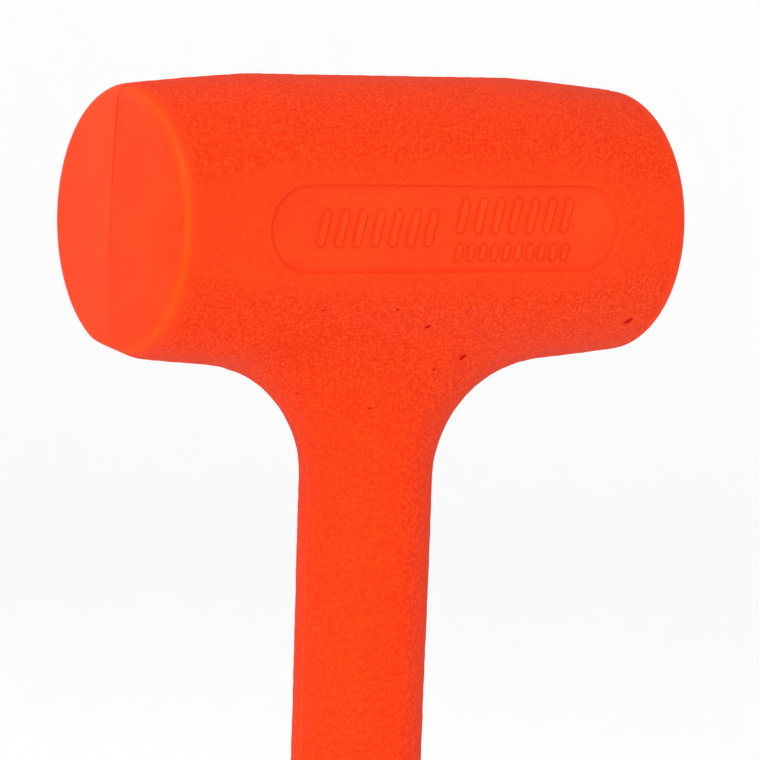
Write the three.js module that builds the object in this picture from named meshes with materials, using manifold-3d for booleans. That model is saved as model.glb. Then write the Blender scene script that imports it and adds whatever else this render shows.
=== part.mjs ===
// A one-hand dead blow mallet: a steel canister part-filled with steel shot, on a steel rod,
// cast inside one piece of soft orange urethane. Millimetres, +Z up. The mallet stands on its
// butt: the origin is the centre of the butt's flat end, the handle rises along +Z, and the
// head lies along X, with a striking face at each end.
import * as THREE from 'three';
import { mergeVertices } from 'three/addons/utils/BufferGeometryUtils.js';
import Module from 'manifold-3d';

// Overall
const OVERALL_LENGTH = 292;
const HEAD_RADIUS = 22.1;
const HEAD_AXIS_Z = OVERALL_LENGTH - HEAD_RADIUS;
const CLEARANCE = 0.3; // left between the casing and the steel inside it

// Head: a straight barrel whose ends taper to domed striking faces
const HEAD_HALF_LENGTH = 46.4;
const BARREL_HALF_LENGTH = 23.4;
const FACE_EDGE_X = 43;
const FACE_EDGE_RADIUS = 20.5;
const TAPER_POWER = 1.2;
const EDGE_ROUND = 2.2;
const FACE_DOME = 0.7;
const TAPER_STEPS = 5;

// A flat land on the front and back of the barrel, each with a shallow round-ended panel in it
const LAND_OFFSET = 20.65;
const PANEL_LENGTH = 62.6;
const PANEL_HEIGHT = 13.1;
const PANEL_DEPTH = 0.6;
const PANEL_SHIFT_X = 0.4;

// Handle: a round neck, then an oval grip with a flared butt. [z, half width, half depth]
const NECK_RADIUS = 10.3;
const NECK_FILLET = 19.4;
const GRIP_SECTIONS = [
  [0, 13.6, 11.4], [1.6, 15.6, 13.2], [7, 16.6, 14], [18, 15.2, 12.8], [38, 13.6, 11.6],
  [66, 15, 12.6], [96, 14.4, 12.2], [122, 12.6, 11.3], [140, 10.9, 10.5], [152, 10.1, 10.1],
  [205, 10.1, 10.1],
];
const GRIP_RINGS = 26;
const FILLET_STEPS = 7;
const FILLET_OVERRUN = 1.06; // share of the fillet's sweep at which it ends, inside the barrel

// Steel canister in the head
const TUBE_RADIUS = 15.5;
const TUBE_WALL = 1.6;
const TUBE_HALF_LENGTH = 33.5;
const CAP_FLANGE = 1.8;
const CAP_SPIGOT = 2.4;

// Steel rod in the handle, the weld that joins it to the canister, and the plug below it
const ROD_RADIUS = 4.75;
const ROD_BOTTOM_Z = 14;
const WELD_RADIUS = 8;
const WELD_HEIGHT = 4;
const WELD_TOE = 1.2;
const WELD_OVERLAP = 3; // reach past the canister's underside, before trimming to it
const PLUG_RADIUS = 7;
const PLUG_HEAD_HEIGHT = 4;

// Shot: slices along the canister, each with an arc of balls on the wall and one ball on them
const SHOT_RADIUS = 3.9;
const SHOT_PITCH = 8.05;
const SHOT_WALL_GAP = 0.1;
const SHOT_SLICES = 7;
const SHOT_ON_WALL = 5;

const ROUND_STEPS = 48;
const CUT_REACH = 10; // how far cutting tools stand out of the faces they cut

const wasm = await Module();
wasm.setup();

// Booleans

function toSolid(geometry) {
  const bare = geometry.clone();
  bare.deleteAttribute('normal');
  bare.deleteAttribute('uv');
  const merged = mergeVertices(bare, 1e-4);
  return new wasm.Manifold(new wasm.Mesh({
    numProp: 3,
    vertProperties: new Float32Array(merged.attributes.position.array),
    triVerts: new Uint32Array(merged.index.array),
  }));
}

function toGeometry(solid) {
  const mesh = solid.getMesh();
  const geometry = new THREE.BufferGeometry();
  geometry.setAttribute('position', new THREE.BufferAttribute(mesh.vertProperties, 3));
  geometry.setIndex(new THREE.BufferAttribute(mesh.triVerts, 1));
  geometry.computeVertexNormals();
  return geometry;
}

// Plain solids

function cylinderAlongX(radius, halfLength) {
  return new THREE.CylinderGeometry(radius, radius, 2 * halfLength, ROUND_STEPS).rotateZ(Math.PI / 2);
}

function cylinderAlongZ(radius, bottom, top) {
  return new THREE.CylinderGeometry(radius, radius, top - bottom, ROUND_STEPS)
    .rotateX(Math.PI / 2).translate(0, 0, (bottom + top) / 2);
}

// Revolves points of (distance from the axis, place along X) about the X axis.
function revolveAboutX(points) {
  return new THREE.LatheGeometry(points, ROUND_STEPS).rotateZ(-Math.PI / 2);
}

// Closes a stack of rings of points, lowest first, each anticlockwise seen from above.
function skin(rings) {
  const count = rings[0].length;
  const centres = [rings[0], rings.at(-1)].map((ring) => ring
    .reduce((sum, point) => sum.add(point), new THREE.Vector3()).divideScalar(count));
  const points = [...rings.flat(), ...centres];
  const bottom = points.length - 2;
  const topRing = (rings.length - 1) * count;
  const index = [];
  for (let i = 0; i < count; i += 1) {
    const next = (i + 1) % count;
    index.push(bottom, next, i, bottom + 1, topRing + i, topRing + next);
    for (let low = 0; low < topRing; low += count) {
      index.push(low + i, low + next, low + count + next);
      index.push(low + i, low + count + next, low + count + i);
    }
  }
  const geometry = new THREE.BufferGeometry().setFromPoints(points);
  geometry.setIndex(index);
  return geometry;
}

// Head

function barrelRadius(x) {
  const past = Math.max(0, Math.abs(x) - BARREL_HALF_LENGTH);
  const drop = HEAD_RADIUS - FACE_EDGE_RADIUS;
  return HEAD_RADIUS - drop * (past / (FACE_EDGE_X - BARREL_HALF_LENGTH)) ** TAPER_POWER;
}

// One end of the head's outline, from the middle of the barrel to the middle of the face.
function headProfile() {
  const points = [];
  const taperEnd = FACE_EDGE_X - EDGE_ROUND / 2;
  for (let i = 0; i <= TAPER_STEPS; i += 1) {
    const x = THREE.MathUtils.lerp(BARREL_HALF_LENGTH, taperEnd, i / TAPER_STEPS);
    points.push(new THREE.Vector2(barrelRadius(x), x));
  }
  const faceEdge = barrelRadius(taperEnd) - EDGE_ROUND;
  const faceX = (radius) => HEAD_HALF_LENGTH - FACE_DOME * (radius / faceEdge) ** 2;
  const corner = new THREE.Vector2(faceEdge + EDGE_ROUND, faceX(faceEdge + EDGE_ROUND));
  const curve = new THREE.QuadraticBezierCurve(
    points.at(-1), corner, new THREE.Vector2(faceEdge, faceX(faceEdge)));
  points.push(...curve.getPoints(TAPER_STEPS).slice(1));
  for (const share of [0.7, 0.4, 0]) {
    points.push(new THREE.Vector2(faceEdge * share, faceX(faceEdge * share)));
  }
  return points;
}

function headBody() {
  const right = headProfile();
  const left = right.map((point) => new THREE.Vector2(point.x, -point.y)).reverse();
  return revolveAboutX([...left, ...right]);
}

// Handle

function ovalRing(z, halfWidth, halfDepth) {
  const ring = [];
  for (let i = 0; i < ROUND_STEPS; i += 1) {
    const angle = (2 * Math.PI * i) / ROUND_STEPS;
    ring.push(new THREE.Vector3(halfWidth * Math.cos(angle), halfDepth * Math.sin(angle), z));
  }
  return ring;
}

// One ring of the fillet between neck and barrel, a ball rolled round the neck: share 0 lies
// on the neck and share 1 on the barrel, and a little more than 1 goes into the barrel.
function filletRing(share) {
  const ring = [];
  for (let i = 0; i < ROUND_STEPS; i += 1) {
    const angle = (2 * Math.PI * i) / ROUND_STEPS;
    const out = new THREE.Vector3(Math.cos(angle), Math.sin(angle), 0);
    const centre = out.clone().multiplyScalar(NECK_RADIUS + NECK_FILLET);
    const reach = barrelRadius(centre.x) + NECK_FILLET;
    centre.z = -Math.sqrt(reach ** 2 - centre.y ** 2);
    const toNeck = out.clone().negate();
    const toBarrel = new THREE.Vector3(0, -centre.y, -centre.z).normalize();
    const turn = toNeck.angleTo(toBarrel) * share;
    const hinge = new THREE.Vector3().crossVectors(toNeck, toBarrel).normalize();
    ring.push(toNeck.applyAxisAngle(hinge, turn).multiplyScalar(NECK_FILLET).add(centre));
  }
  return ring.map((point) => point.add(new THREE.Vector3(0, 0, HEAD_AXIS_Z)));
}

function handleBody() {
  const curve = new THREE.CatmullRomCurve3(
    GRIP_SECTIONS.map(([z, halfWidth, halfDepth]) => new THREE.Vector3(halfWidth, halfDepth, z)));
  const rings = curve.getPoints(GRIP_RINGS).map((point) => ovalRing(point.z, point.x, point.y));
  for (let i = 0; i <= FILLET_STEPS; i += 1) {
    rings.push(filletRing(i / FILLET_STEPS));
  }
  rings.push(filletRing(FILLET_OVERRUN));
  rings.push(ovalRing(HEAD_AXIS_Z - TUBE_RADIUS, NECK_RADIUS, NECK_RADIUS));
  return skin(rings);
}

// Casing

// The space that the canister, its weld, the rod and the plug fill, with clearance round them.
function casingCore() {
  const halfLength = TUBE_HALF_LENGTH + CAP_FLANGE + 2 * CLEARANCE;
  const below = -HEAD_AXIS_Z - CUT_REACH;
  const weldBottom = -TUBE_RADIUS - WELD_HEIGHT - CLEARANCE;
  const weldTop = -TUBE_RADIUS + WELD_OVERLAP;
  const plugTop = -HEAD_AXIS_Z + PLUG_HEAD_HEIGHT + CLEARANCE;
  const canister = cylinderAlongX(TUBE_RADIUS + CLEARANCE, halfLength);
  const weld = cylinderAlongZ(WELD_RADIUS + CLEARANCE, weldBottom, weldTop);
  const rod = cylinderAlongZ(ROD_RADIUS + CLEARANCE, below, weldTop);
  const plug = cylinderAlongZ(PLUG_RADIUS + CLEARANCE, below, plugTop);
  const whole = toSolid(canister).add(toSolid(weld)).add(toSolid(rod)).add(toSolid(plug));
  return whole.translate([0, 0, HEAD_AXIS_Z]);
}

function panelCutter(side) {
  const radius = PANEL_HEIGHT / 2;
  const straight = PANEL_LENGTH / 2 - radius;
  const outline = new THREE.Shape();
  outline.absarc(straight, 0, radius, -Math.PI / 2, Math.PI / 2);
  outline.absarc(-straight, 0, radius, Math.PI / 2, (3 * Math.PI) / 2);
  const settings = { depth: CUT_REACH, bevelEnabled: false, curveSegments: ROUND_STEPS / 4 };
  const cutter = new THREE.ExtrudeGeometry(outline, settings);
  cutter.rotateX(Math.PI / 2).translate(PANEL_SHIFT_X, -(LAND_OFFSET - PANEL_DEPTH), HEAD_AXIS_Z);
  return side < 0 ? cutter : cutter.rotateZ(Math.PI);
}

function landCutter(side) {
  return new THREE.BoxGeometry(2 * (HEAD_HALF_LENGTH + CUT_REACH), CUT_REACH, 2 * HEAD_RADIUS)
    .translate(0, side * (LAND_OFFSET + CUT_REACH / 2), HEAD_AXIS_Z);
}

function casing() {
  let solid = toSolid(headBody().translate(0, 0, HEAD_AXIS_Z));
  for (const side of [-1, 1]) {
    solid = solid.subtract(toSolid(landCutter(side))).subtract(toSolid(panelCutter(side)));
  }
  return toGeometry(solid.add(toSolid(handleBody())).subtract(casingCore()));
}

function buttPlug() {
  const stemTop = ROD_BOTTOM_Z - CLEARANCE;
  return new THREE.LatheGeometry([
    new THREE.Vector2(0, 0), new THREE.Vector2(PLUG_RADIUS, 0),
    new THREE.Vector2(PLUG_RADIUS, PLUG_HEAD_HEIGHT), new THREE.Vector2(ROD_RADIUS, PLUG_HEAD_HEIGHT),
    new THREE.Vector2(ROD_RADIUS, stemTop), new THREE.Vector2(0, stemTop),
  ], ROUND_STEPS).rotateX(Math.PI / 2);
}

// Canister

function canisterTube() {
  const inner = TUBE_RADIUS - TUBE_WALL;
  return revolveAboutX([
    new THREE.Vector2(inner, -TUBE_HALF_LENGTH), new THREE.Vector2(TUBE_RADIUS, -TUBE_HALF_LENGTH),
    new THREE.Vector2(TUBE_RADIUS, TUBE_HALF_LENGTH), new THREE.Vector2(inner, TUBE_HALF_LENGTH),
    new THREE.Vector2(inner, -TUBE_HALF_LENGTH),
  ]);
}

// A flanged cap: its flange covers the tube's end and its spigot goes inside.
function canisterCap(side) {
  const spigotRadius = TUBE_RADIUS - TUBE_WALL - CLEARANCE;
  const seat = TUBE_HALF_LENGTH + CLEARANCE;
  const cap = revolveAboutX([
    new THREE.Vector2(0, seat - CAP_SPIGOT), new THREE.Vector2(spigotRadius, seat - CAP_SPIGOT),
    new THREE.Vector2(spigotRadius, seat), new THREE.Vector2(TUBE_RADIUS, seat),
    new THREE.Vector2(TUBE_RADIUS, seat + CAP_FLANGE), new THREE.Vector2(0, seat + CAP_FLANGE),
  ]);
  return side > 0 ? cap : cap.rotateZ(Math.PI);
}

// Rod and weld: both are trimmed by the round underside of the canister.
function handleRod() {
  const low = ROD_BOTTOM_Z - HEAD_AXIS_Z;
  const rod = toSolid(cylinderAlongZ(ROD_RADIUS, low, -TUBE_RADIUS + WELD_OVERLAP));
  const canister = toSolid(cylinderAlongX(TUBE_RADIUS + CLEARANCE, TUBE_HALF_LENGTH));
  return toGeometry(rod.subtract(canister));
}

function rodWeld() {
  const low = -TUBE_RADIUS - WELD_HEIGHT;
  const high = -TUBE_RADIUS + WELD_OVERLAP;
  const hole = ROD_RADIUS + CLEARANCE;
  const bead = new THREE.LatheGeometry([
    new THREE.Vector2(hole, low), new THREE.Vector2(ROD_RADIUS + WELD_TOE, low),
    new THREE.Vector2(WELD_RADIUS - WELD_TOE, (low - TUBE_RADIUS) / 2),
    new THREE.Vector2(WELD_RADIUS, -TUBE_RADIUS), new THREE.Vector2(WELD_RADIUS, high),
    new THREE.Vector2(hole, high), new THREE.Vector2(hole, low),
  ], ROUND_STEPS).rotateX(Math.PI / 2);
  const canister = toSolid(cylinderAlongX(TUBE_RADIUS + CLEARANCE, TUBE_HALF_LENGTH));
  return toGeometry(toSolid(bead).subtract(canister));
}

// Shot

// Centres of the balls in one slice, as [across, up] from the canister's axis.
function sliceCentres() {
  const wallRadius = TUBE_RADIUS - TUBE_WALL - SHOT_RADIUS - SHOT_WALL_GAP;
  const step = 2 * Math.asin(SHOT_PITCH / 2 / wallRadius);
  const centres = [];
  for (let i = 0; i < SHOT_ON_WALL; i += 1) {
    const angle = (i - (SHOT_ON_WALL - 1) / 2) * step;
    centres.push([wallRadius * Math.sin(angle), -wallRadius * Math.cos(angle)]);
  }
  centres.push([0, SHOT_PITCH - wallRadius]);
  return centres;
}

function shotBalls() {
  const balls = [];
  for (let slice = 0; slice < SHOT_SLICES; slice += 1) {
    const x = (slice - (SHOT_SLICES - 1) / 2) * SHOT_PITCH;
    for (const [across, up] of sliceCentres()) {
      balls.push(new THREE.Vector3(x, across, up));
    }
  }
  return balls;
}

// Materials and assembly

const URETHANE = new THREE.MeshStandardMaterial({ color: 0xf9431b, roughness: 0.5, metalness: 0 });
const STEEL = new THREE.MeshStandardMaterial({ color: 0x9a9c9e, roughness: 0.4, metalness: 1 });
const WELD = new THREE.MeshStandardMaterial({ color: 0x6f6d6b, roughness: 0.6, metalness: 1 });
const SHOT = new THREE.MeshStandardMaterial({ color: 0xb8babc, roughness: 0.25, metalness: 1 });

function part(name, geometry, material) {
  const mesh = new THREE.Mesh(geometry, material);
  mesh.name = name;
  return mesh;
}

// The canister, rod, weld and shot, measured from the middle of the head.
function skeleton() {
  const group = new THREE.Group();
  group.position.z = HEAD_AXIS_Z;
  group.add(part('canister_tube', canisterTube(), STEEL));
  group.add(part('canister_cap_left', canisterCap(-1), STEEL));
  group.add(part('canister_cap_right', canisterCap(1), STEEL));
  group.add(part('handle_rod', handleRod(), STEEL));
  group.add(part('rod_weld', rodWeld(), WELD));
  shotBalls().forEach((centre, i) => {
    const ball = part(`shot_${i + 1}`, new THREE.IcosahedronGeometry(SHOT_RADIUS, 1), SHOT);
    ball.position.copy(centre);
    group.add(ball);
  });
  return group;
}

const mallet = new THREE.Group();
mallet.add(part('casing', casing(), URETHANE));
mallet.add(part('butt_plug', buttPlug(), URETHANE));
mallet.add(skeleton());

export default mallet;
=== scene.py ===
"""Looks for the dead blow mallet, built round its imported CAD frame.

The steel inside keeps its CAD shapes and gets materials. The urethane casing is replaced by a fine
skin: a rough union of head and handle is remeshed, each of its points is moved onto the casing's
exact outline, and the panels, pits and inner core are then cut out of it.

Shapes are worked out in millimetres from the middle of the head, with X along the head and Z up.
"""
import math

import bmesh
import bpy
import numpy as np
from mathutils import Matrix, Vector


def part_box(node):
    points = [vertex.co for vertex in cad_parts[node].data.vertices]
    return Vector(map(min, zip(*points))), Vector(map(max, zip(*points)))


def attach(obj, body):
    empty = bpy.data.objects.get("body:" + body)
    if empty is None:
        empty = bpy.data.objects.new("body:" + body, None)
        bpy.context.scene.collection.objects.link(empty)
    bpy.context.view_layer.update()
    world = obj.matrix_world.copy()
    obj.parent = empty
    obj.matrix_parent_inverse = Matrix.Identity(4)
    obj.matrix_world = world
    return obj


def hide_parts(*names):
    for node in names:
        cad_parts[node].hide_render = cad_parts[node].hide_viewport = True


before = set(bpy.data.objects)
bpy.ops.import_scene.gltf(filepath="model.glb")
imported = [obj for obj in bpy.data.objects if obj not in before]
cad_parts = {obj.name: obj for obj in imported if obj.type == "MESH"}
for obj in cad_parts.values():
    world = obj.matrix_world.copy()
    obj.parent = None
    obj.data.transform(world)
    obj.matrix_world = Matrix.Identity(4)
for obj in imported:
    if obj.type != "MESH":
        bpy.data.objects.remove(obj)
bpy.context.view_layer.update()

MM = 0.001


def corners(node):
    """A CAD node's lowest and highest corners, in millimetres."""
    return [np.array(corner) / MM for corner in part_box(node)]


# ---------------------------------------------------------------- sizes, in millimetres

CASING_HIGH = corners("casing")[1]
TUBE_LOW, TUBE_HIGH = corners("canister_tube")
CAP_HIGH = corners("canister_cap_right")[1]
ROD_HIGH = corners("handle_rod")[1]
WELD_LOW, WELD_HIGH = corners("rod_weld")
PLUG_HIGH = corners("butt_plug")[1]
PLUG_HEAD_HEIGHT = 4.0
GAP = 0.3                                   # clearance round the steel and the plug
STEM_TOP = -12.0                            # where the rod's space ends, inside the canister's

AXIS_Z = (TUBE_LOW[2] + TUBE_HIGH[2]) / 2   # height of the head's axis above the butt
HEAD_RADIUS = CASING_HIGH[2] - AXIS_Z
HALF_LENGTH = CASING_HIGH[0]
LAND = CASING_HIGH[1]                       # the flat lands' distance from the middle
LAND_ROUND = 3.0
BARREL_HALF = 23.4                          # half the length of the barrel before it tapers
EDGE_X = 43.0                               # where the taper ends, next to a face
EDGE_RADIUS = 20.5
EDGE_ROUND = 2.2
TAPER_POWER = 1.2
DOME = 0.6                                  # how far a face falls away by DOME_RADIUS
DOME_RADIUS = 17.6
DRAFT = math.tan(math.radians(1.3))         # each half of a face leans back from the mould line
CREST_ROUND, CREST_DROP = 0.1, 0.3          # soften the crest between the two halves

PANEL_HALF = 31.3
PANEL_RADIUS = 6.55
PANEL_DEPTH = 0.5
PANEL_SHIFT = 0.4
PANEL_FLOOR = LAND - PANEL_DEPTH
BAR_HEIGHT = 0.42
BAR_BASE = 0.3                              # how deep a bar is rooted in the panel's floor
BAR_SLANT = math.radians(76)
# Rows of bars: first bar's place, count, pitch, height above the middle, half length and radius
BAR_ROWS = (
    (-21.6, 7, 3.15, 0.1, 2.8, 0.55),
    (3.0, 7, 3.15, 2.0, 2.7, 0.55),
    (2.4, 10, 2.15, -3.6, 1.3, 0.4),
)

NECK_FILLET = 19.4
FILLET_TOP = -2.0                           # the fillet works only lower than this
BUTT_ROUND = 3.0
# The handle's section at heights above the butt: height, half width, half depth
SECTIONS = np.array([
    (0, 16.2, 13.8), (7, 16.5, 14.0), (18, 15.2, 12.8), (38, 13.6, 11.6), (66, 15.0, 12.6),
    (96, 14.4, 12.2), (122, 12.6, 11.3), (140, 10.9, 10.5), (152, 10.1, 10.1),
    (198, 10.1, 10.1), (216, 10.3, 10.3), (240, 10.3, 10.3),
])
SMOOTHED_FROM = 30                          # higher than this the sections are evened out,
SMOOTHED_STEP = 6                           # at heights this far apart,
SMOOTHED_REACH = 12                         # over this much each way

SEAM_LOOPS = (-0.45, -0.18, -0.06, 0.0, 0.06, 0.18, 0.45)   # edge loops beside the parting line
SEAM_RIDGE, SEAM_GROOVE = 0.10, -0.05       # its height on the pebbled skin and on the faces
NUB = np.array([25.0, 0.0, -22.1])          # a torn bit of flash under the head
NUB_HEIGHT, NUB_SPREAD = 0.5, 0.5
# The flat on the lower far edge of the left face
TRIM_NORMAL = np.array([-0.37, 0.12, -0.92])
TRIM_NORMAL /= np.linalg.norm(TRIM_NORMAL)
TRIM_REACH = 34.5
TRIM_ROUND = 0.5
TRIM_END_X = -30
# Nicks and blow holes in the casting: rough place, and radius
PITS = np.array([
    (38, -15, -15, 0.6), (9, -12, -20, 0.5), (0, -16, -15, 0.4), (-7, -18, -12, 0.2),
    (-20, -18, -12, 0.2), (-6, -10, -28, 0.2), (4, -12, -22, 0.2), (-16, -5, -26, 0.2),
])

SWELL = 0.018                               # height of the skin's soft unevenness
SWELL_WAVES = 40
SWELL_LENGTHS = 1.6, 2.8

SKIN_VOXEL = 0.6
HANDLE_SQUEEZE = 2.2                        # how much longer than wide the handle's faces are
SQUEEZE_FROM = -75.0
ROUGH_INSET = 0.5
ROUGH_BUTT = (13, 0.3)                      # the rough handle's radius and height at the butt
ROUGH_NECK = ((10.3, -47), (12, -38), (15, -29), (15, -12), (0, -10))
SHARP_ANGLE = math.radians(38)

ALONG_X = Matrix.Rotation(math.pi / 2, 4, "Y")
UPRIGHT = Matrix.Identity(4)

# ---------------------------------------------------------------- the casing's outline


def smooth_curve(at, knots, values):
    """A cubic through the knots that doesn't overshoot between them."""
    step = np.diff(knots)
    slope = np.diff(values) / step
    before, after = slope[:-1], slope[1:]
    inner = np.where(after * before > 0, 2 * after * before / (after + before + 1e-9), 0)
    tangent = np.concatenate([[slope[0]], inner, [slope[-1]]])
    i = np.clip(np.searchsorted(knots, at) - 1, 0, len(step) - 1)
    t = np.clip((at - knots[i]) / step[i], 0, 1)
    h = step[i]
    return ((2 * t**3 - 3 * t**2 + 1) * values[i] + (t**3 - 2 * t**2 + t) * h * tangent[i]
            + (3 * t**2 - 2 * t**3) * values[i + 1] + (t**3 - t**2) * h * tangent[i + 1])


def even_out(values):
    """The handle's width at even steps of height, without sudden changes of curve."""
    top = SECTIONS[-1, 0]
    heights = np.arange(0, top + 1, SMOOTHED_STEP)
    nearby = np.linspace(-SMOOTHED_REACH, SMOOTHED_REACH, 13)
    near = [smooth_curve(np.clip(heights + d, 0, top), SECTIONS[:, 0], values) for d in nearby]
    exact = smooth_curve(heights, SECTIONS[:, 0], values)
    return heights, np.where(heights > SMOOTHED_FROM, np.mean(near, 0), exact)


WIDE = even_out(SECTIONS[:, 1])
DEEP = even_out(SECTIONS[:, 2])


def both(a, b, radius):
    """Inside both shapes, with their meeting edge rounded off."""
    outside = np.hypot(np.maximum(a + radius, 0), np.maximum(b + radius, 0))
    return np.minimum(np.maximum(a, b), -radius) + outside


def filleted(a, b, cosine, radius):
    """Inside either shape, with a rolling-ball fillet.

    The cosine is that of the angle between the two shapes' normals.
    """
    u, v = radius - a, radius - b
    square = np.maximum(u**2 + v**2 - 2 * cosine * u * v, 0)
    reach = np.sqrt(square / np.maximum(1 - cosine**2, 1e-4))
    between = (u > cosine * v) & (v > cosine * u) & ((u > 0) | (v > 0))
    return np.where(between, radius - reach, np.minimum(a, b))


def barrel_radius(x):
    past = np.maximum(np.abs(x) - BARREL_HALF, 0) / (EDGE_X - BARREL_HALF)
    return HEAD_RADIUS - (HEAD_RADIUS - EDGE_RADIUS) * past**TAPER_POWER


def face_x(radius, y):
    """How far out a face is, at a distance from the head's axis."""
    lean = DRAFT * (np.sqrt(y**2 + CREST_ROUND) - CREST_DROP)
    return HALF_LENGTH - DOME * (radius / DOME_RADIUS) ** 2 - lean


def head_field(p):
    x, y, z = p.T
    radius = np.hypot(y, z)
    round_part = both(radius - barrel_radius(x), np.abs(x) - face_x(radius, y), EDGE_ROUND)
    cosine = np.abs(y) / np.maximum(radius, 1e-6)
    return -filleted(-round_part, LAND - np.abs(y), cosine, LAND_ROUND)


def handle_field(p):
    x, y, z = p.T
    height = z + AXIS_Z
    wide, deep = smooth_curve(height, *WIDE), smooth_curve(height, *DEEP)
    oval = (np.sqrt((x / wide) ** 2 + (y / deep) ** 2) - 1) * np.minimum(wide, deep)
    return np.maximum(both(oval, -height, BUTT_ROUND), z)


def casing_field(p):
    """Negative inside the casing, zero on its outline."""
    a, b = head_field(p), handle_field(p)
    x, y, z = p.T
    cosine = y**2 / np.maximum(np.hypot(y, z) * np.hypot(x, y), 1e-6)
    return np.where(z < FILLET_TOP, filleted(a, b, cosine, NECK_FILLET), np.minimum(a, b))


def field_gradient(p, step=0.02):
    columns = []
    for axis in np.eye(3) * step:
        columns.append((casing_field(p + axis) - casing_field(p - axis)) / (2 * step))
    return np.stack(columns, 1)


def onto_outline(p, turns=5, furthest=1.5, least_slope=0.05):
    """The points moved onto the casing's outline in a few steps, and the outline's normals."""
    for _ in range(turns):
        slope = field_gradient(p)
        square = np.maximum((slope**2).sum(1), least_slope)
        p = p - slope * (np.clip(casing_field(p), -furthest, furthest) / square)[:, None]
    slope = field_gradient(p)
    return p, slope / np.linalg.norm(slope, axis=1)[:, None]


# ---------------------------------------------------------------- meshes


def points_of(mesh):
    flat = np.empty(len(mesh.vertices) * 3)
    mesh.vertices.foreach_get("co", flat)
    return flat.reshape(-1, 3)


def set_points(mesh, points):
    mesh.vertices.foreach_set("co", np.ascontiguousarray(points, np.float32).ravel())
    mesh.update()


def shade_smooth(mesh):
    mesh.polygons.foreach_set("use_smooth", np.ones(len(mesh.polygons), bool))


def apply_modifier(thing, kind, **settings):
    """Gives the thing the mesh that one modifier makes of it."""
    modifier = thing.modifiers.new(kind.lower(), kind)
    for name, value in settings.items():
        setattr(modifier, name, value)
    evaluated = thing.evaluated_get(bpy.context.evaluated_depsgraph_get())
    mesh = bpy.data.meshes.new_from_object(evaluated)
    thing.modifiers.clear()
    thing.data = mesh


def cut(thing, tool, operation="DIFFERENCE"):
    apply_modifier(thing, "BOOLEAN", object=tool, operation=operation, solver="MANIFOLD")
    bpy.data.objects.remove(tool)


def lathe(bm, profile, steps, matrix):
    """Turns (radius, height) points about Z. It is closed where they start or end on the axis."""
    turns = [2 * math.pi * i / steps for i in range(steps)]
    rings = []
    for radius, height in profile:
        if radius < 1e-6:
            places = [(0, 0, height)]
        else:
            places = [(radius * math.cos(a), radius * math.sin(a), height) for a in turns]
        rings.append([bm.verts.new(matrix @ Vector(place)) for place in places])
    for low, high in zip(rings, rings[1:]):
        for i in range(steps):
            face = [low[i % len(low)], low[(i + 1) % len(low)],
                    high[(i + 1) % len(high)], high[i % len(high)]]
            bm.faces.new(list(dict.fromkeys(face)))


def object_from(bm, name):
    bmesh.ops.recalc_face_normals(bm, faces=bm.faces)
    mesh = bpy.data.meshes.new(name)
    bm.to_mesh(mesh)
    bm.free()
    thing = bpy.data.objects.new(name, mesh)
    bpy.context.scene.collection.objects.link(thing)
    return thing


# ---------------------------------------------------------------- the skin


def squeeze(points, factor):
    """Lengthens or shortens the handle, so that an even remesh can give it longer faces."""
    out = points.copy()
    below = out[:, 2] < SQUEEZE_FROM
    out[below, 2] = SQUEEZE_FROM + (out[below, 2] - SQUEEZE_FROM) * factor
    return out


def rough_union():
    """Head and handle as two overlapping solids."""
    bm = bmesh.new()
    end = HALF_LENGTH - ROUGH_INSET
    head = [(barrel_radius(x), x) for x in np.linspace(-EDGE_X, EDGE_X, 30)]
    lathe(bm, [(0, -end), *head, (0, end)], 72, ALONG_X)
    radius, low = ROUGH_BUTT
    heights = np.linspace(3, 215, 40)
    depths = smooth_curve(heights, SECTIONS[:, 0], SECTIONS[:, 2])
    butt = [(0, -AXIS_Z + low), (radius, -AXIS_Z + low)]
    lathe(bm, [*butt, *zip(depths, heights - AXIS_Z), *ROUGH_NECK], 48, UPRIGHT)
    return object_from(bm, "casing")


def swells(points):
    """The skin's uneven height: soft swells a couple of millimetres across."""
    rng = np.random.default_rng(7)
    total = np.zeros(len(points))
    for _ in range(SWELL_WAVES):
        direction = rng.normal(size=3)
        direction *= 2 * math.pi / rng.uniform(*SWELL_LENGTHS) / np.linalg.norm(direction)
        total += np.sin(points @ direction + rng.uniform(0, 2 * math.pi))
    return SWELL * total / math.sqrt(SWELL_WAVES / 2)


def smoothstep(low, high, value):
    t = np.clip((value - low) / (high - low), 0, 1)
    return t * t * (3 - 2 * t)


def stadium_distance(points):
    """Distance outside the panel's outline, on the land."""
    x, y, z = points.T
    straight = PANEL_HALF - PANEL_RADIUS
    along = x * -np.sign(y) - PANEL_SHIFT
    return np.hypot(np.maximum(np.abs(along) - straight, 0), z) - PANEL_RADIUS


def grain_mask(points):
    """1 where the urethane is pebbled, 0 on the smooth faces, panels and butt.

    The lands round the panels are only partly pebbled, and least at one end.
    """
    x, y, z = points.T
    radius = np.hypot(y, z)
    near_face = smoothstep(-3.0, -1.3, np.abs(x) - face_x(radius, y)) * (z > -HEAD_RADIUS)
    on_land = smoothstep(LAND - 1.7, LAND - 0.2, np.abs(y)) * (np.abs(z) < 12)
    in_panel = smoothstep(0.5, 0.15, stadium_distance(points)) * (np.abs(y) > LAND - 1.2)
    on_butt = smoothstep(1.0, 0.4, z + AXIS_Z)
    faint = 0.35 + 0.4 * smoothstep(-27, -35, x * -np.sign(y))
    return np.clip(1 - near_face - in_panel - on_butt, 0, 1) * (1 - faint * on_land)


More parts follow.
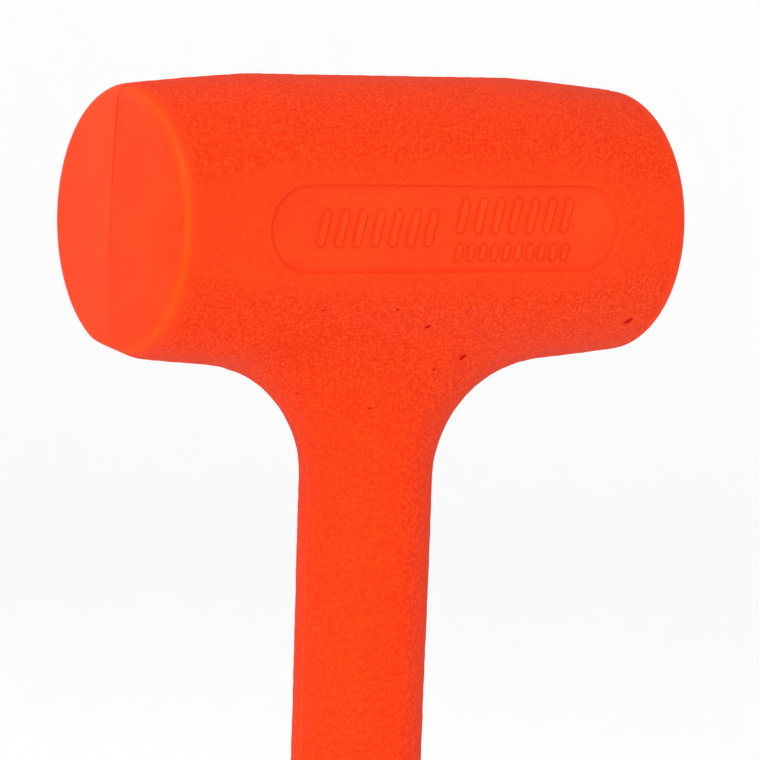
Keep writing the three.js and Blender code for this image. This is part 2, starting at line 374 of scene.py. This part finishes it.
def seam_mask(points):
    """1 along the mould's parting line; on the faces it is wider and fades downwards. It shapes
    the line's ridge and groove, and places the painted shade and highlight laid along it.
    """
    on_face = np.abs(points[:, 0]) > EDGE_X
    width = np.where(on_face, 0.42, 0.26)
    strength = np.where(on_face, 0.62 + 0.38 * np.clip(points[:, 2] / 18, -1, 1), 1)
    return strength * np.clip(1 - np.abs(points[:, 1]) / width, 0, 1)


def rim_highlight_mask(points):
    """1 along the middle of each face's rounded edge, where a painted highlight is laid."""
    x, y, z = points.T
    radius = np.hypot(y, z)
    side, end = radius - barrel_radius(x), np.abs(x) - face_x(radius, y)
    return np.exp(-((side - end) / 0.7) ** 2) * (side > -2.5) * (end > -2.5)


def pit_places():
    places, _ = onto_outline(PITS[:, :3])
    return list(zip(places, PITS[:, 3]))


def pit_mask(points):
    mask = np.zeros(len(points))
    for place, radius in pit_places():
        mask = np.maximum(mask, np.linalg.norm(points - place, axis=1) < 1.5 * radius)
    return mask


def trimmed(points):
    """The skin with a shallow flat where flash was pared off."""
    over = points @ TRIM_NORMAL - TRIM_REACH
    eased = (over + TRIM_ROUND) ** 2 / (4 * TRIM_ROUND)
    over = np.where(np.abs(over) < TRIM_ROUND, eased, np.maximum(over, 0))
    over *= points[:, 0] < TRIM_END_X
    return points - over[:, None] * TRIM_NORMAL


def mould_line(thing):
    """Adds edge loops along the middle plane, so that the parting line can stand out of it."""
    bm = bmesh.new()
    bm.from_mesh(thing.data)
    for y in SEAM_LOOPS:
        bmesh.ops.bisect_plane(bm, geom=bm.verts[:] + bm.edges[:] + bm.faces[:], dist=1e-5,
                               plane_co=(0, y, 0), plane_no=(0, 1, 0))
    bm.to_mesh(thing.data)
    bm.free()


def casing_skin():
    skin = rough_union()
    for voxel in (2 * SKIN_VOXEL, SKIN_VOXEL):
        set_points(skin.data, squeeze(points_of(skin.data), 1 / HANDLE_SQUEEZE))
        apply_modifier(skin, "REMESH", mode="VOXEL", voxel_size=voxel)
        points, _ = onto_outline(squeeze(points_of(skin.data), HANDLE_SQUEEZE), 8)
        set_points(skin.data, points)
    mould_line(skin)
    points, normals = onto_outline(points_of(skin.data), 2)
    grain = grain_mask(points)
    height = swells(points) * grain
    height += seam_mask(points) * np.where(grain > 0.5, SEAM_RIDGE, SEAM_GROOVE)
    height += NUB_HEIGHT * np.exp(-((points - NUB) ** 2).sum(1) / NUB_SPREAD)
    set_points(skin.data, trimmed(points + normals * height[:, None]))
    return skin


# ---------------------------------------------------------------- cutters


def stadium(bm, side, centre, half, radius, levels, turn=0.0, steps=24):
    """A round-ended block that stands out along Y.

    Each level is a distance from the middle plane, and how far the outline has grown by there.
    """
    loops = []
    for out, grow in levels:
        loop = []
        for i in range(2 * steps):
            angle = math.pi * (i % steps) / (steps - 1) - math.pi / 2
            end = 1 if i < steps else -1
            along = end * ((half - radius) + (radius + grow) * math.cos(angle))
            across = end * (radius + grow) * math.sin(angle)
            x = centre[0] + along * math.cos(turn) - across * math.sin(turn)
            z = centre[1] + along * math.sin(turn) + across * math.cos(turn)
            loop.append(bm.verts.new((x * -side, side * out, z)))
        loops.append(loop)
    bm.faces.new(loops[0])
    bm.faces.new(loops[-1][::-1])
    count = len(loops[0])
    for low, high in zip(loops, loops[1:]):
        for i in range(count):
            j = (i + 1) % count
            bm.faces.new((low[i], low[j], high[j], high[i]))


def panel_cutters():
    bm = bmesh.new()
    levels = ((PANEL_FLOOR, -0.25), (PANEL_FLOOR + 0.12, -0.08), (LAND - 0.1, 0.05),
              (LAND + 1, 1.0))
    for side in (-1, 1):
        stadium(bm, side, (PANEL_SHIFT, 0), PANEL_HALF, PANEL_RADIUS, levels)
    return object_from(bm, "panel_cutters")


def raised_bars():
    """Plain slanted bars moulded in the panels: a tall row, then a tall row over a small one."""
    bm = bmesh.new()
    levels = ((PANEL_FLOOR - BAR_BASE, 0.08), (PANEL_FLOOR, 0.08),
              (PANEL_FLOOR + BAR_HEIGHT - 0.08, -0.05), (PANEL_FLOOR + BAR_HEIGHT, -0.18))
    for side in (-1, 1):
        for start, count, pitch, up, half, radius in BAR_ROWS:
            for i in range(count):
                centre = (start + i * pitch, up)
                stadium(bm, side, centre, half, radius, levels, BAR_SLANT, steps=8)
    return object_from(bm, "raised_bars")


def pit_cutters():
    """Small slanting hollows."""
    bm = bmesh.new()
    slant = Matrix.Rotation(math.radians(-35), 4, "Y")
    stretch = slant @ Matrix.Diagonal((1.6, 1.0, 0.7, 1))
    for place, radius in pit_places():
        matrix = Matrix.Translation(Vector(place)) @ stretch
        bmesh.ops.create_icosphere(bm, subdivisions=2, radius=radius, matrix=matrix)
    return object_from(bm, "pit_cutters")


def core_cutter():
    """The space inside the casing that the steel and the plug fill."""
    bm = bmesh.new()
    tube, end = TUBE_HIGH[2] - AXIS_Z + GAP, CAP_HIGH[0] + GAP
    lathe(bm, [(0, -end), (tube, -end), (tube, end), (0, end)], 96, ALONG_X)
    core = object_from(bm, "core_cutter")
    rod, weld, plug = ROD_HIGH[0] + GAP, WELD_HIGH[0] + GAP, PLUG_HIGH[0] + GAP
    plug_low, plug_top = -AXIS_Z - 2, PLUG_HEAD_HEIGHT + GAP - AXIS_Z
    weld_low = WELD_LOW[2] - GAP - AXIS_Z
    bm = bmesh.new()
    stem = [(0, plug_low), (plug, plug_low), (plug, plug_top), (rod, plug_top), (rod, weld_low),
            (weld, weld_low), (weld, STEM_TOP), (0, STEM_TOP)]
    lathe(bm, stem, 64, UPRIGHT)
    cut(core, object_from(bm, "stem_cutter"), "UNION")
    return core


def casing():
    skin = casing_skin()
    cut(skin, panel_cutters())
    cut(skin, raised_bars(), "UNION")
    cut(skin, pit_cutters())
    cut(skin, core_cutter())
    points = points_of(skin.data)
    x, y, z = points.T
    masks = {"grain": grain_mask(points), "seam_shade_and_highlight": seam_mask(points), "pit": pit_mask(points),
             "rim_highlight": rim_highlight_mask(points), "grip_and_shade": smoothstep(-22, -42, z),
             # Painted light: 1 on the far half of each face, which is painted lighter and pinker,
             # 0 on the near half, 0.85 elsewhere
             "painted_light": np.where(np.abs(x) > EDGE_X, y > 0, 0.85)}
    for name, values in masks.items():
        layer = skin.data.attributes.new(name, "FLOAT", "POINT")
        layer.data.foreach_set("value", values.astype(np.float32))
    set_points(skin.data, (points + np.array([0, 0, AXIS_Z])) * MM)
    shade_smooth(skin.data)
    skin.data.set_sharp_from_angle(angle=SHARP_ANGLE)
    apply_modifier(skin, "WEIGHTED_NORMAL", keep_sharp=True)
    skin.name = "casing_skin"
    return skin


# ---------------------------------------------------------------- materials

PEBBLES = 1450.0                # pebbles in a metre of the moulded grain
PEBBLE_HEIGHT = 0.00008         # metres
SPECKS = 650.0                  # cells in a metre, some of which hold a dark speck

# Colours of the urethane. A pair gives the ends of a ramp: where each is, and its colour.
# The pebbled ramps paint shade into the grain's low places: the lower the grain, the darker the
# colour
PEBBLED_SHADED = (0.3, (0.71, 0.0250, 0.0024)), (0.9, (0.88, 0.0580, 0.0050))
# The handle's ramp is also painted darker overall, as shade under the head
GRIPPED_SHADED = (0.1, (0.72, 0.0270, 0.0026)), (0.9, (0.84, 0.0430, 0.0042))
# Painted light on the smooth skin: a shaded colour for each face's near half, and a lit, pinker
# colour for its far half and the panels
SMOOTH_SHADED = (0.3, (0.80, 0.0300, 0.0036)), (0.7, (0.86, 0.0480, 0.0054))
SMOOTH_LIT = (0.3, (0.80, 0.0330, 0.0056)), (0.7, (0.87, 0.0580, 0.0092))
# Painted shade for the corners and recesses of the faces and panels
CORNER_SHADE = (0.62, 0.022, 0.003, 1)
SPECK = (0.45, 0.020, 0.006, 1)
# Painted highlight: a lighter orange laid along each face's rounded edge
RIM_HIGHLIGHT = (0.88, 0.068, 0.0042, 1)
# Painted light along the parting line: shade beside the groove on the faces, a highlight on the
# ridge on the pebbled skin
SEAM_SHADE_ON_FACE = (0.46, 0.012, 0.002, 1)
SEAM_HIGHLIGHT_ON_SKIN = (0.90, 0.080, 0.009, 1)
PITTED = (0.66, 0.011, 0.005, 1)


class Nodes:
    """A short way to add and join shader nodes."""

    def __init__(self, name):
        self.material = bpy.data.materials.new(name)
        self.material.use_nodes = True
        self.tree = self.material.node_tree
        self.shader = self.tree.nodes["Principled BSDF"]
        self.place = self.add("ShaderNodeTexCoord").outputs["Object"]

    def put(self, socket, value):
        """Links another node's output to the socket, or sets a plain value on it."""
        if isinstance(value, bpy.types.NodeSocket):
            self.tree.links.new(value, socket)
        else:
            socket.default_value = value

    def add(self, kind, inputs=None, **settings):
        node = self.tree.nodes.new(kind)
        for name, value in settings.items():
            setattr(node, name, value)
        for name, value in (inputs or {}).items():
            self.put(node.inputs[name], value)
        return node

    def maths(self, operation, a, b, clamp=False):
        node = self.add("ShaderNodeMath", {0: a, 1: b}, operation=operation, use_clamp=clamp)
        return node.outputs[0]

    def vectors(self, operation, a, b):
        return self.add("ShaderNodeVectorMath", {0: a, 1: b}, operation=operation).outputs[0]

    def ramp(self, value, low, high):
        node = self.add("ShaderNodeValToRGB", {"Fac": value})
        for element, (position, colour) in zip(node.color_ramp.elements, (low, high)):
            element.position = position
            element.color = (*colour, 1)
        return node.outputs["Color"]

    def blend(self, part, low, high):
        """The colour `part` of the way from low to high."""
        return self.add("ShaderNodeMix", {0: part, 6: low, 7: high}, data_type="RGBA").outputs[2]

    def share(self, part, low, high):
        """The number `part` of the way from low to high."""
        return self.add("ShaderNodeMix", {0: part, 2: low, 3: high}, data_type="FLOAT").outputs[0]

    def noise(self, scale, detail, vector=None, output="Fac"):
        inputs = {"Vector": vector or self.place, "Scale": scale, "Detail": detail}
        return self.add("ShaderNodeTexNoise", inputs).outputs[output]

    def soft_noise(self, scale):
        """Even blobs from 0 to 1."""
        spread = self.maths("SUBTRACT", self.noise(scale, 0.5), 0.3)
        return self.maths("MULTIPLY", spread, 2.5, clamp=True)

    def finish(self, **sockets):
        for name, value in sockets.items():
            self.put(self.shader.inputs[name.replace("_", " ")], value)
        return self.material


def pebbles(n, grip_and_shade):
    """The moulded grain's height, from 0 to 1: warped domes on the head, softer on the handle."""
    wander = n.vectors("MULTIPLY", n.noise(1100.0, 1.0, output="Color"), (6e-4, 6e-4, 6e-4))
    place = n.vectors("ADD", wander, n.place)
    edge = n.add("ShaderNodeTexVoronoi", {"Vector": place, "Scale": PEBBLES},
                 feature="DISTANCE_TO_EDGE").outputs["Distance"]
    slope = n.maths("SUBTRACT", 1.0, n.maths("MULTIPLY", edge, 2.4), clamp=True)
    dome = n.maths("SUBTRACT", 1.0, n.maths("MULTIPLY", slope, slope))
    head = n.maths("ADD", n.maths("MULTIPLY", dome, 0.6),
                   n.maths("MULTIPLY", n.soft_noise(1.2 * PEBBLES), 0.4))
    return n.share(grip_and_shade, head, n.soft_noise(1.3 * PEBBLES))


def smooth_skin(n, painted_light):
    """The colour of the faces and panels: painted shade in their corners, the far half of each
    face and the panels painted lighter, and a few specks.
    """
    mottle = n.maths("ADD", n.maths("MULTIPLY", n.noise(90.0, 4.0), 0.5),
                     n.maths("MULTIPLY", n.noise(1500.0, 3.0), 0.5))
    # The far half of each face and the panels get the lighter, pinker colour as painted light
    smooth = n.blend(painted_light, n.ramp(mottle, *SMOOTH_SHADED), n.ramp(mottle, *SMOOTH_LIT))
    # Painted shade: ambient occlusion darkens the colour in corners and round the raised bars
    corner_shade = n.add("ShaderNodeAmbientOcclusion", {"Distance": 0.0012}, only_local=True, samples=8)
    smooth = n.blend(n.maths("POWER", corner_shade.outputs["AO"], 2.6), CORNER_SHADE, smooth)
    cell = n.add("ShaderNodeTexVoronoi", {"Vector": n.place, "Scale": SPECKS}, feature="F1")
    chance = n.add("ShaderNodeSeparateColor", {"Color": cell.outputs["Color"]}).outputs[1]
    speck = n.maths("MULTIPLY", n.maths("LESS_THAN", cell.outputs["Distance"], 0.11),
                    n.maths("GREATER_THAN", chance, 0.6))
    return n.blend(n.maths("MULTIPLY", speck, 0.45), smooth, SPECK)


def urethane():
    n = Nodes("urethane")
    # The handle's mask gives it a softer grain and a darker colour painted on as shade under the
    # head
    grain, seam_shade_and_highlight, pit, rim_highlight, grip_and_shade, painted_light = [
        n.add("ShaderNodeAttribute", attribute_name=name).outputs["Fac"]
        for name in ("grain", "seam_shade_and_highlight", "pit", "rim_highlight", "grip_and_shade", "painted_light")]
    pebble = pebbles(n, grip_and_shade)
    fine = n.noise(2600.0, 2.0)

    height = n.maths("ADD", n.maths("MULTIPLY", pebble, grain), n.maths("MULTIPLY", fine, 0.04))
    height = n.maths("ADD", height, n.maths("MULTIPLY", n.noise(170.0, 3.0), 0.2))
    bump = n.add("ShaderNodeBump",
                 {"Strength": 1.0, "Distance": PEBBLE_HEIGHT, "Height": height}).outputs["Normal"]

    # The grain's colour, with painted shade where the grain is low
    pebbled = n.blend(grip_and_shade, n.ramp(pebble, *PEBBLED_SHADED), n.ramp(pebble, *GRIPPED_SHADED))
    colour = n.blend(grain, smooth_skin(n, painted_light), pebbled)
    # Paints a highlight along the middle of each face's rounded edge
    colour = n.blend(n.maths("MULTIPLY", rim_highlight, 0.65), colour, RIM_HIGHLIGHT)
    # The parting line gets painted shade on the faces and a painted highlight on the pebbled skin,
    # strongest near the top of the faces
    line = n.blend(grain, SEAM_SHADE_ON_FACE, SEAM_HIGHLIGHT_ON_SKIN)
    shown = n.maths("SUBTRACT", 0.85, n.maths("MULTIPLY", grain, 0.35))
    colour = n.blend(n.maths("MULTIPLY", seam_shade_and_highlight, shown), colour, line)
    pitted = n.maths("MULTIPLY", n.maths("SUBTRACT", pit, 0.6), 2.5, clamp=True)
    colour = n.blend(pitted, colour, PITTED)

    rough = n.maths("ADD", n.maths("MULTIPLY", fine, 0.10),
                    n.maths("ADD", n.maths("MULTIPLY", grain, 0.08), 0.38))
    return n.finish(Base_Color=colour, Roughness=rough, Normal=bump,
                    Specular_IOR_Level=0.13, Specular_Tint=(1, 0.7, 0.35, 1))


def steel(name, colour, rough, streaks):
    """Bare steel, with fine marks that are long where the streaks' scale is small."""
    n = Nodes(name)
    stretched = n.add("ShaderNodeMapping", {"Vector": n.place, "Scale": streaks}).outputs[0]
    lines = n.noise(900.0, 4.0, stretched)
    darker = tuple(c * 0.82 for c in colour)
    tone = n.blend(n.noise(120.0, 3.0), (*darker, 1), (*colour, 1))
    shine = n.maths("ADD", n.maths("MULTIPLY", lines, 0.22), rough - 0.1)
    bump = n.add("ShaderNodeBump",
                 {"Strength": 0.4, "Distance": 0.00004, "Height": lines}).outputs["Normal"]
    return n.finish(Base_Color=tone, Roughness=shine, Normal=bump, Metallic=1.0)


# ---------------------------------------------------------------- the stage, in metres

# Soft boxes round the head: azimuth and elevation in degrees, distance, width, height, and watts
SOFT_BOXES = {
    "key_left": (-58, 6, 1.10, 1.00, 1.00, 3.0),
    "upper_left": (-58, 42, 1.10, 0.90, 0.60, 6.0),
    "back_left": (-140, 25, 1.10, 0.60, 0.60, 1.2),
    "top": (0, 88, 1.10, 0.90, 0.90, 3.0),
    "low_front": (-10, -8, 1.10, 0.90, 0.20, 1.4),
}
WHITE = (1, 1, 1, 1)
GLOW = 0.275                            # strength of the world, and of the sweep's own light
FLOOR_Z = -0.0002
FLOOR_RADIUS, COVE, WALL_TOP = 1.9, 0.9, 3.2        # wide enough to hold every view's camera
COVE_STEPS, SWEEP_STEPS = 16, 96

HEAD = Vector((0, 0, AXIS_Z * MM))
CAMERA_AZIMUTH, CAMERA_ELEVATION, CAMERA_ROLL = -32.5, 3.15, 1.95       # degrees
CAMERA_DISTANCE = 0.747
LENS = 230.0
AIM_RIGHT, AIM_DOWN = 0.0009, 0.0246    # where the camera looks, from the middle of the head


def outward(azimuth, elevation):
    """A direction from its angles in degrees; azimuth 0 is the front."""
    turn, lift = math.radians(azimuth), math.radians(elevation)
    return Vector((math.sin(turn) * math.cos(lift), -math.cos(turn) * math.cos(lift),
                   math.sin(lift)))


def soft_box(name, azimuth, elevation, distance, width, height, watts):
    data = bpy.data.lights.new(name, "AREA")
    data.energy = watts
    data.shape = "RECTANGLE"
    data.size, data.size_y = width, height
    lamp = bpy.data.objects.new(name, data)
    bpy.context.scene.collection.objects.link(lamp)
    away = outward(azimuth, elevation)
    lamp.location = HEAD + away * distance
    lamp.rotation_euler = away.to_track_quat("Z", "Y").to_euler()


def lights():
    for name, settings in SOFT_BOXES.items():
        soft_box(name, *settings)
    world = bpy.data.worlds.new("world")
    bpy.context.scene.world = world
    world.use_nodes = True
    background = world.node_tree.nodes["Background"]
    background.inputs["Color"].default_value = WHITE
    background.inputs["Strength"].default_value = GLOW


def sweep():
    """A pale floor that curves up into a backdrop all the way round, so every view has one."""
    profile = [(0.0, FLOOR_Z), (FLOOR_RADIUS, FLOOR_Z)]
    for i in range(1, COVE_STEPS + 1):
        angle = math.pi / 2 * i / COVE_STEPS
        profile.append((FLOOR_RADIUS + COVE * math.sin(angle),
                        FLOOR_Z + COVE - COVE * math.cos(angle)))
    profile.append((FLOOR_RADIUS + COVE, WALL_TOP))
    bm = bmesh.new()
    lathe(bm, profile, SWEEP_STEPS, UPRIGHT)
    floor = object_from(bm, "floor")
    shade_smooth(floor.data)
    floor.data.materials.append(Nodes("backdrop").finish(
        Base_Color=(0.9, 0.9, 0.9, 1), Roughness=0.9, Specular_IOR_Level=0.1,
        Emission_Color=WHITE, Emission_Strength=GLOW))
    floor.visible_glossy = False


def camera():
    turn, roll = math.radians(CAMERA_AZIMUTH), math.radians(CAMERA_ROLL)
    back = outward(CAMERA_AZIMUTH, CAMERA_ELEVATION)
    right = Vector((math.cos(turn), math.sin(turn), 0))
    up = back.cross(right)
    data = bpy.data.cameras.new("camera")
    data.lens = LENS
    data.clip_start, data.clip_end = 0.02, 20
    lens = bpy.data.objects.new("camera", data)
    bpy.context.scene.collection.objects.link(lens)
    lens.location = HEAD + back * CAMERA_DISTANCE
    rolled_right = right * math.cos(roll) + up * math.sin(roll)
    rolled_up = up * math.cos(roll) - right * math.sin(roll)
    aim = HEAD + rolled_right * AIM_RIGHT - rolled_up * AIM_DOWN
    look = (aim - lens.location).normalized()
    side = look.cross(rolled_up).normalized()
    top = side.cross(look)
    lens.rotation_euler = Matrix((side, top, -look)).transposed().to_euler()
    bpy.context.scene.camera = lens


# ---------------------------------------------------------------- the scene

camera()
lights()
sweep()
bpy.context.scene.view_settings.view_transform = "Standard"

skin = casing()
URETHANE = urethane()
skin.data.materials.clear()
skin.data.materials.append(URETHANE)
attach(skin, "mallet")
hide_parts("casing")

PLATE = steel("steel", (0.56, 0.57, 0.58), 0.38, (0.05, 1, 1))
WELD = steel("weld_metal", (0.35, 0.33, 0.32), 0.55, (1, 1, 1))
SHOT = steel("shot_steel", (0.7, 0.71, 0.72), 0.25, (1, 1, 1))
for name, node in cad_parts.items():
    if name == "casing":
        continue
    material = PLATE
    if name == "butt_plug":
        material = URETHANE
    elif name == "rod_weld":
        material = WELD
    elif name.startswith("shot_"):
        material = SHOT
    for slot in node.material_slots:
        slot.material = material
